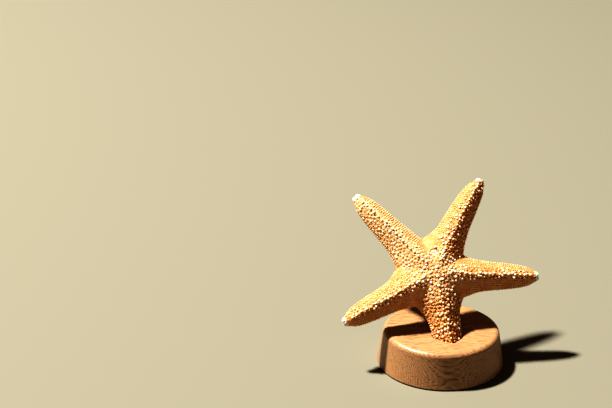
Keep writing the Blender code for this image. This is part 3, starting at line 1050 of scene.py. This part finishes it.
def under_row(place_of, pitch, begin, lean, width, length, unevenness):
    """One row on each half of every arm. "place_of" gives the side step from the distance out."""
    found = []
    for arm in range(len(ARM_NAMES)):
        for half in (-1, 1):
            out = begin
            while out < ARM_LENGTH[arm] - CLEAR_OF_END:
                side = half * float(place_of(arm, out))
                in_own_arm = abs(side) < out * np.tan(HALF_BETWEEN_ARMS) - BAY_CLEAR
                hit = under_hit(arm, out, side) if in_own_arm else None
                if usable(hit):
                    outward = np.append(arm_across[arm] * half, 0) @ TO_BODY
                    along = np.append(arm_along[arm], 0) @ TO_BODY
                    way = hit[1] + outward * lean + along * chance.normal(0, unevenness)
                    way += outward * chance.normal(0, unevenness)
                    size = chance.uniform(*SIZES_VARY)
                    found.append((*hit, way / np.linalg.norm(way), width * size, length * size))
                out += pitch * chance.uniform(*PITCHES_VARY)
    return found


def under_rows(where, unevenness, table):
    """Rows from a table of side, pitch, first place, lean, width and length, sizes in mm."""
    found = []
    for side, pitch, begin, lean, width, length in table:
        row = pitch * MM, begin * MM, lean, width * MM, length * MM
        found += under_row(where(side), *row, unevenness)
    return found


half_way = [under_hit(arm, arm_ends[arm] / 2, 0.0) for arm in range(len(ARM_NAMES))]
print("under side half way down each arm, mm over the mouth", mm_over_mouth(half_way))

# %% Tube feet
FOOT_COLOURS = (0.14, 0.05, 0.015), (0.31, 0.14, 0.05), (0.47, 0.28, 0.13)
FOOT_SHAPE, FOOT_SUNK, FOOT_UNEVEN = {"Sides": 7, "Rings": 7, "Bluntness": 0.5}, 0.25, 0.2
FOOT_ROWS = ((0.5, 1.30, 4.6, 0.10, 0.52, 2.1), (1.2, 1.30, 5.2, -0.15, 0.50, 1.9))
ROW_TONES = (0.1, 0.9)


def at_step(step):
    """A side step in mm, which narrows with the furrow."""
    return lambda arm, out: step * MM * narrowing(arm, out)


def lay_rows(title, found, finish, shape, sunk):
    """Pegs on the places found, moved with the skin where the furrow is pressed in."""
    spots, normals, ways, widths, lengths = (np.array(values) for values in zip(*found))
    arm, out, side, _, turn = arm_place(body_place(spots))
    spots = spots + normals * furrow_lift(arm, out, side, turn)[:, None]
    tones = chance.uniform(*ROW_TONES, len(spots))
    places = stand(spots, ways, lengths, sunk)
    lay_pegs(title, places, ways, widths, lengths, tones, finish, shape)


FOOT = peg_finish("dried tube foot", *FOOT_COLOURS)
feet = under_rows(at_step, FOOT_UNEVEN, FOOT_ROWS)
lay_rows("tube_feet", feet, FOOT, FOOT_SHAPE, FOOT_SUNK)

# %% Spines
SPINE_UNEVEN = 0.12
GUARD_SHAPE, GUARD_SUNK = {"Sides": 7, "Rings": 6, "Bluntness": 0.45}, 0.25
GUARD_ROWS = ((2.15, 0.92, 4.9, -0.35, 0.36, 2.1), (2.75, 0.92, 5.4, 0.10, 0.38, 2.0))
STOUT_SHAPE, STOUT_SUNK = {"Sides": 8, "Rings": 6, "Bluntness": 0.4}, 0.3
STOUT_ROWS = (
    (0.56, 1.75, 9.0, 0.05, 0.64, 1.7),
    (0.72, 1.75, 11.0, 0.05, 0.64, 1.5),
    (0.87, 1.60, 13.0, -0.10, 0.62, 1.0),
)


def at_share(share):
    """A side step that is this share of half the arm's width."""
    return lambda arm, out: share * line_at(arm, out)[1]


SPINE = peg_finish("spine chalk", TAN, PALE_TAN, CHALK)
guards = under_rows(at_step, SPINE_UNEVEN, GUARD_ROWS)
lay_rows("furrow_spines", guards, SPINE, GUARD_SHAPE, GUARD_SUNK)
stout = under_rows(at_share, SPINE_UNEVEN, STOUT_ROWS)
lay_rows("edge_spines", stout, SPINE, STOUT_SHAPE, STOUT_SUNK)

# %% [markdown]
# ## The mouth
# The furrows meet at the mouth. A thin dried membrane, puckered into folds, closes it round a small
# dark hole, and five corners of the jaw carry a fan of spines that point in over it. The membrane
# is a ring of rings: each ring's level follows a formula, and a sine makes the folds.

# %% Closed shapes from rings
MOUTH_LEVEL = body_place(points_of(nodes["mouth"].data))[:, 2].min()


def closed_rings(name, rings, tops, place):
    """A closed mesh from rings of points in body coordinates, with a point at each end."""
    count = len(rings[0])
    points = np.vstack([np.array([tops[0]])] + list(rings) + [np.array([tops[1]])])
    faces = [(0, 1 + (i + 1) % count, 1 + i) for i in range(count)]
    for ring in range(len(rings) - 1):
        a, b = 1 + ring * count, 1 + (ring + 1) * count
        faces += [(a + i, a + (i + 1) % count, b + (i + 1) % count, b + i) for i in range(count)]
    last, end = 1 + (len(rings) - 1) * count, len(points) - 1
    faces += [(last + i, last + (i + 1) % count, end) for i in range(count)]
    mesh = bpy.data.meshes.new(name)
    mesh.from_pydata(place(points).tolist(), [], faces)
    shell = bmesh.new()
    shell.from_mesh(mesh)
    bmesh.ops.recalc_face_normals(shell, faces=shell.faces)
    shell.to_mesh(mesh)
    shell.free()
    mesh.shade_smooth()
    return link_new(name, mesh)


def ring_of(radius, around, level):
    """One ring of points, from its radius and its level at each angle round it."""
    return np.column_stack([radius * np.cos(around), radius * np.sin(around), level])


def hump(middle, width, value):
    return np.exp(-(((value - middle) / width) ** 2))


print("mouth level mm", round(float(MOUTH_LEVEL) / MM, 2))

# %% Mouth membrane
MOUTH_REACH, MOUTH_RINGS, MOUTH_SIDES = 2.35 * MM, 22, 120
FOLDS, FOLD_HEIGHT, FOLD_WANDER, FOLD_FADE = 19, 0.10 * MM, 2.5, 0.3
REST_LEVEL, LIP_DROP, HOLE_DEPTH, EDGE_TUCK = 0.25 * MM, 0.42 * MM, 1.0 * MM, 1.0 * MM
LIP_AT, LIP_WIDTH, HOLE_EDGE, RIM_EDGE = 0.42, 0.20, (0.08, 0.34), (0.80, 1.0)
HOLE_END, BACK_END = 1.35 * MM, 1.5 * MM
around = np.linspace(0, 2 * pi, MOUTH_SIDES, endpoint=False)
rings = []
for reach in np.linspace(0.06, 1.0, MOUTH_RINGS):
    lips = hump(LIP_AT, LIP_WIDTH, reach)
    hole = 1 - smooth_step(*HOLE_EDGE, reach)
    edge = smooth_step(*RIM_EDGE, reach)
    fold = np.sin(FOLDS * around + FOLD_WANDER * np.sin(3 * around) * reach)
    fold = fold * lips * (1 - FOLD_FADE * reach)
    level = MOUTH_LEVEL + REST_LEVEL - LIP_DROP * lips + HOLE_DEPTH * hole + EDGE_TUCK * edge
    rings.append(ring_of(reach * MOUTH_REACH, around, level - FOLD_HEIGHT * fold))
ends = ([0, 0, MOUTH_LEVEL + HOLE_END], [0, 0, MOUTH_LEVEL + BACK_END])
membrane = closed_rings("mouth_membrane", rings, ends, room_place)
print("mouth membrane", len(membrane.data.polygons), "faces")

# %% Membrane finish
MEMBRANE_DARK, MEMBRANE_TAN = (0.12, 0.05, 0.02), (0.36, 0.19, 0.09)
MEMBRANE_BLOTCH, MEMBRANE_GRAIN, FINE_DEPTH = 900.0, 2600.0, 0.1 * MM


def membrane_finish():
    finish, tree, shader = new_material("dried membrane", roughness=0.55, specular=0.35)
    blotch = grainy(tree, MEMBRANE_BLOTCH)
    colour = colour_steps(tree, blotch, (0.3, MEMBRANE_DARK), (0.75, MEMBRANE_TAN))
    finished(tree, shader, colour, grainy(tree, MEMBRANE_GRAIN), FINE_DEPTH, strength=0.7)
    return finish


dress(membrane, membrane_finish())

# %% Spines on the jaw's corners
JAW_OUT, JAW_FAN, JAW_WIDTH, JAW_SPREAD = 3.5 * MM, 5, 0.42 * MM, 1.5
JAW_TIERS = ((0.0, 0.45, 2.2, 1.0), (0.9, 0.9, 1.9, 0.7))  # step out mm, fall, length mm, inward
JAW_SPLAY, JAW_SUNK = 0.5, 0.2
jaw_spines = []
angles = np.sort(np.arctan2(arm_along[:, 1], arm_along[:, 0]))
between = angles + np.diff(np.append(angles, angles[0] + 2 * pi)) / 2
for corner in between:
    inward = -np.array([cos(corner), sin(corner), 0.0])
    sideways = np.array([-sin(corner), cos(corner), 0.0])
    for number in range(JAW_FAN):
        spread = (number - (JAW_FAN - 1) / 2) / (JAW_FAN - 1)
        for step, fall, length, inwards in JAW_TIERS:
            root = -inward * (JAW_OUT + step * MM) + sideways * spread * (JAW_SPREAD + step) * MM
            hit = meet_skin(room_place(root + np.array([0, 0, -RAY_START]))[0], FACE)
            way = room_way(inward * inwards + sideways * spread * JAW_SPLAY)[0] - FACE * fall
            way /= np.linalg.norm(way)
            jaw_spines.append((*hit, way, JAW_WIDTH, length * MM))
lay_rows("jaw_spines", jaw_spines, SPINE, STOUT_SHAPE, JAW_SUNK)

# %% [markdown]
# ## The sieve plate
# Water enters a sea star through one round chalky button on the disc. Its top is cut by fine
# furrows that wander outwards and fork. A disc of rings with a wavy sine gives them real depth.

# %% Where the sieve plate sits
SIEVE_LEAN = 0.6  # how far it leans with the skin; the rest is the way the rough face looks
sieve_spot, sieve_normal = meet_skin(SIEVE_MIDDLE + FACE * RAY_START, -FACE)
sieve_up = sieve_normal * SIEVE_LEAN + FACE * (1 - SIEVE_LEAN)
sieve_up /= np.linalg.norm(sieve_up)
sieve_right = np.array([1.0, 0, 0]) - sieve_up * sieve_up[0]
sieve_right /= np.linalg.norm(sieve_right)
sieve_axes = np.array([sieve_right, np.cross(sieve_up, sieve_right), sieve_up])
print("sieve plate looks along", sieve_up.round(2))

# %% Sieve plate
SIEVE_REACH, SIEVE_RISE, SIEVE_ROOT = 1.5 * MM, 0.50 * MM, 0.7 * MM
SIEVE_RINGS, SIEVE_SIDES, SIEVE_FLATTER = 20, 160, 0.55
SIEVE_FURROWS, SIEVE_CUT, FORK_AT = 15, 0.10 * MM, 0.55
CUT_FROM, CUT_TO = (0.05, 0.3), (0.86, 1.0)
around = np.linspace(0, 2 * pi, SIEVE_SIDES, endpoint=False)
uneven = 1 + 0.04 * np.sin(3 * around + 1) + 0.03 * np.sin(5 * around)
rings = []
for reach in np.linspace(0.05, 1.0, SIEVE_RINGS):
    furrows = SIEVE_FURROWS * (2 if reach > FORK_AT else 1)
    wander = 1.3 * np.sin(4 * around + 6 * reach) + 2.0 * reach
    cut = np.sin(furrows * around + wander) ** 2
    cut = cut * smooth_step(*CUT_FROM, reach) * (1 - smooth_step(*CUT_TO, reach))
    crown = SIEVE_RISE * (1 - SIEVE_FLATTER * reach**4) - SIEVE_CUT * cut
    rings.append(ring_of(SIEVE_REACH * reach * uneven, around, crown))
rings.append(rings[-1] * np.array([1.0, 1.0, 0.0]) + np.array([0, 0, -SIEVE_ROOT]))
ends = ([0, 0, SIEVE_RISE], [0, 0, -SIEVE_ROOT])
sieve = closed_rings("sieve_plate", rings, ends, lambda points: points @ sieve_axes + sieve_spot)
print("sieve plate", len(sieve.data.polygons), "faces")

# %% Bare chalk
SIEVE_CREVICE, SIEVE_CHALK = (0.52, 0.34, 0.16), (0.86, 0.76, 0.58)
CHALK_BLOTCH, CHALK_GRAIN = 1300.0, 3800.0


def chalk_finish(name, crevice, face):
    """Bare chalk, which turns to the skin's tan where the value "covered" rises."""
    finish, tree, shader = new_material(name, roughness=0.72, specular=0.25)
    blotch = grainy(tree, CHALK_BLOTCH, detail=3.0)
    chalk = colour_steps(tree, blotch, (0.28, crevice), (0.62, face))
    tan = colour_steps(tree, blotch, (0.36, DARK_PIT), (0.44, PIT_EDGE), (0.56, TAN))
    colour = mixed(tree, value_of(tree, "covered"), chalk, tan)
    grain = grainy(tree, CHALK_GRAIN, detail=3.0)
    finished(tree, shader, colour, grain, FINE_DEPTH, strength=0.7)
    return finish


dress(sieve, chalk_finish("sieve plate chalk", SIEVE_CREVICE, SIEVE_CHALK))

# %% [markdown]
# ## The bare arm ends
# Each arm ends in one hard plate with no skin on it, nearly white when dry. It is lumpy, and split
# by a small notch where the last tube foot, with the eye spot, looked out. The solid end of the arm
# is melted to even faces, its lumps come from a cell pattern, and the notch is pressed in.

# %% Shaping an end plate
PLATE_VOXEL, PLATE_SMOOTHING = 0.15 * MM, 6
LUMP, LUMP_HEIGHT, PLATE_DEPTH = 0.62 * MM, 0.20 * MM, 0.10 * MM
PLATE_EDGE, PLATE_TUCK = 3.0 * MM, 0.30
NOTCH_HALF, NOTCH_DEPTH, NOTCH_LENGTH, NOTCH_FLAT = 0.60 * MM, 1.0 * MM, 1.5 * MM, 0.2


def lumps(points):
    cells = np.array([noise.voronoi(Vector(p) / LUMP)[0][0] for p in points.tolist()])
    return LUMP_HEIGHT * (0.5 - cells) - PLATE_DEPTH


def shaped_plate(points, normals, out, side, way):
    """Lumps on the plate, its cut end tucked in under the skin, and the notch pressed in."""
    before_end, from_cut = out.max() - out, out - out.min()
    away = points - points[from_cut < MM].mean(axis=0)
    away -= (away @ way)[:, None] * way
    tuck = PLATE_TUCK * (1 - smooth_step(0, PLATE_EDGE, from_cut))
    side = side - np.median(side[out > out.max() - NOTCH_LENGTH])
    notch = 1 - smooth_step(NOTCH_FLAT, 1.0, np.abs(side) / NOTCH_HALF)
    notch *= 1 - smooth_step(0, NOTCH_LENGTH, before_end)
    moved = points + normals * lumps(points)[:, None] - away * tuck[:, None]
    return moved - way * (NOTCH_DEPTH * notch)[:, None]


# %% End plates
BARE, BARE_FADE, BARE_UNEVEN, RAGGED = 2.0 * MM, 0.4 * MM, 0.7 * MM, 1.1 * MM
END_CREVICE, END_WHITE = (0.48, 0.35, 0.20), (0.86, 0.82, 0.74)
END_CHALK = chalk_finish("end plate chalk", END_CREVICE, END_WHITE)
end_plates = []
for number, name in enumerate(ARM_NAMES):
    solid_end = swollen_copy([f"tip_{name}"], 0.0)
    plate = melted(f"end_plate_{name}", solid_end, PLATE_VOXEL, PLATE_SMOOTHING)
    points, normals = points_of(plate.data), normals_of(plate.data)
    flat = body_place(points)[:, :2]
    out, side = flat @ arm_along[number], flat @ arm_across[number]
    way = np.append(arm_along[number], 0) @ TO_BODY
    set_points(plate.data, shaped_plate(points, normals, out, side, way))
    ragged = np.array([noise.noise(Vector(p) / RAGGED) for p in points.tolist()])
    skin_end = out.max() - out + BARE_UNEVEN * ragged
    covered = smooth_step(BARE - BARE_FADE, BARE + BARE_FADE, skin_end)
    keep_values(plate.data, "covered", covered)
    plate.data.shade_smooth()
    dress(plate, END_CHALK)
    end_plates.append((plate, f"tip_{name}"))
print(len(end_plates), "end plates,", len(end_plates[0][0].data.polygons), "faces on the first")

# %% [markdown]
# ## The base
# The base is turned from one piece of warm brown wood: a plain round block with a rounded rim. The
# solid has few sides, so its outline is measured and turned again here with many, and the socket
# for the lowest arm is cut with a Boolean. Grain runs across the block.

# %% The base's outline
RIM_STEPS, RIM_ROUND, FOOT_CHAMFER, FLAT_RING = 10, 2.5 * MM, 0.8 * MM, 0.3 * MM
NEAR_SIDE = 0.1 * MM  # how near in level a corner must be to count as the side's upper edge
base_points = points_of(nodes["stand_base"].data)
base_out, base_level = np.hypot(base_points[:, 0], base_points[:, 1]), base_points[:, 2]
foot_radius = base_out[base_level < FOOT_CHAMFER * 1.5].max()
under_radius = base_out[base_level < FOOT_CHAMFER * 0.5].max()
side_radius = base_out[np.abs(base_level - (BASE_TOP - RIM_ROUND)) < NEAR_SIDE].max()
profile = [(0.0, BASE_TOP), (side_radius - RIM_ROUND - FLAT_RING, BASE_TOP)]
for step in range(RIM_STEPS + 1):
    angle = pi / 2 * step / RIM_STEPS
    outwards, downwards = RIM_ROUND * (sin(angle) - 1), RIM_ROUND * (cos(angle) - 1)
    profile.append((side_radius + outwards, BASE_TOP + downwards))
profile += [(foot_radius, FOOT_CHAMFER), (under_radius, 0.0), (0.0, 0.0)]
print("base", round(float(foot_radius) * 2 / MM, 1), "mm across at the foot")

# %% Turned base
BASE_STEPS, TURNED_WELD = 192, 0.005 * MM
turned = bmesh.new()
corners = [turned.verts.new((radius, 0.0, level)) for radius, level in profile]
outline = corners + [turned.edges.new(pair) for pair in zip(corners, corners[1:])]
bmesh.ops.spin(
    turned, geom=outline, cent=(0, 0, 0), axis=(0, 0, 1), angle=2 * pi, steps=BASE_STEPS
)
bmesh.ops.remove_doubles(turned, verts=turned.verts, dist=TURNED_WELD)
bmesh.ops.recalc_face_normals(turned, faces=turned.faces)
base = link_new("base", bpy.data.meshes.new("base"))
turned.to_mesh(base.data)
turned.free()
print("turned base", len(base.data.polygons), "faces")

# %% Socket
SOCKET_PLAY, SHARP_FROM = 0.35 * MM, radians(35)
LEVEL = 0.9999  # faces that look more nearly straight up than this are shaded flat
socket_object = link_new("socket", swollen_copy(["arm_foot", "tip_foot"], SOCKET_PLAY))
cut = base.modifiers.new("Socket", "BOOLEAN")
cut.operation, cut.solver, cut.object = "DIFFERENCE", "EXACT", socket_object
cut.use_self = True
made_plain(base)
bpy.data.objects.remove(socket_object)
base.data.shade_smooth()
base.data.set_sharp_from_angle(angle=SHARP_FROM)
for side in base.data.polygons:
    side.use_smooth = side.normal.z < LEVEL
print("base with its socket", len(base.data.polygons), "faces")

# %% Waxed wood
WOOD_DARK, WOOD_MID, WOOD_PALE = (0.15, 0.075, 0.035), (0.34, 0.19, 0.095), (0.44, 0.27, 0.15)
GRAIN_STRETCH, GRAIN_TURN = (0.09, 1.0, 1.0), (0.0, 0.06, 0.35)
RING_SCALE, RING_WANDER = 260.0, {"Distortion": 3.5, "Detail": 3.0, "Detail Scale": 0.6}
PORE_SCALE, PORE_DEPTH, PORE, NO_PORE = 2400.0, 0.12 * MM, (1, 1, 1), (0, 0, 0)


def wood_finish():
    finish, tree, shader = new_material("waxed wood", roughness=0.40, specular=0.4)
    place = put(tree, "ShaderNodeTexCoord").outputs["Object"]
    inputs = {"Vector": place, "Scale": GRAIN_STRETCH, "Rotation": GRAIN_TURN}
    along = put(tree, "ShaderNodeMapping", inputs).outputs["Vector"]
    inputs = {"Vector": along, "Scale": RING_SCALE, **RING_WANDER}
    rings = put(tree, "ShaderNodeTexWave", inputs, wave_type="RINGS", rings_direction="X")
    rings = rings.outputs["Fac"]
    inputs = {"Vector": along, "Scale": PORE_SCALE, "Detail": 3.0}
    pores = put(tree, "ShaderNodeTexNoise", inputs).outputs["Fac"]
    colour = colour_steps(tree, rings, (0.15, WOOD_MID), (0.55, WOOD_PALE), (0.92, WOOD_MID))
    dark = colour_steps(tree, pores, (0.36, PORE), (0.46, NO_PORE))
    colour = mixed(tree, dark, colour, WOOD_DARK)
    finished(tree, shader, colour, pores, PORE_DEPTH, strength=0.35)
    return finish


dress(base, wood_finish())

# %% Finish
for piece in coat_pieces:
    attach(piece, "root")
for plate, node_name in end_plates:
    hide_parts(node_name)
    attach(plate, "root")
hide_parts("mouth")
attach(membrane, "root")
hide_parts("madreporite")
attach(sieve, "root")
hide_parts("stand_base")
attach(base, "root")
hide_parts(*FLESH_NODES)
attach(skin, "root")
skin.data.shade_smooth()
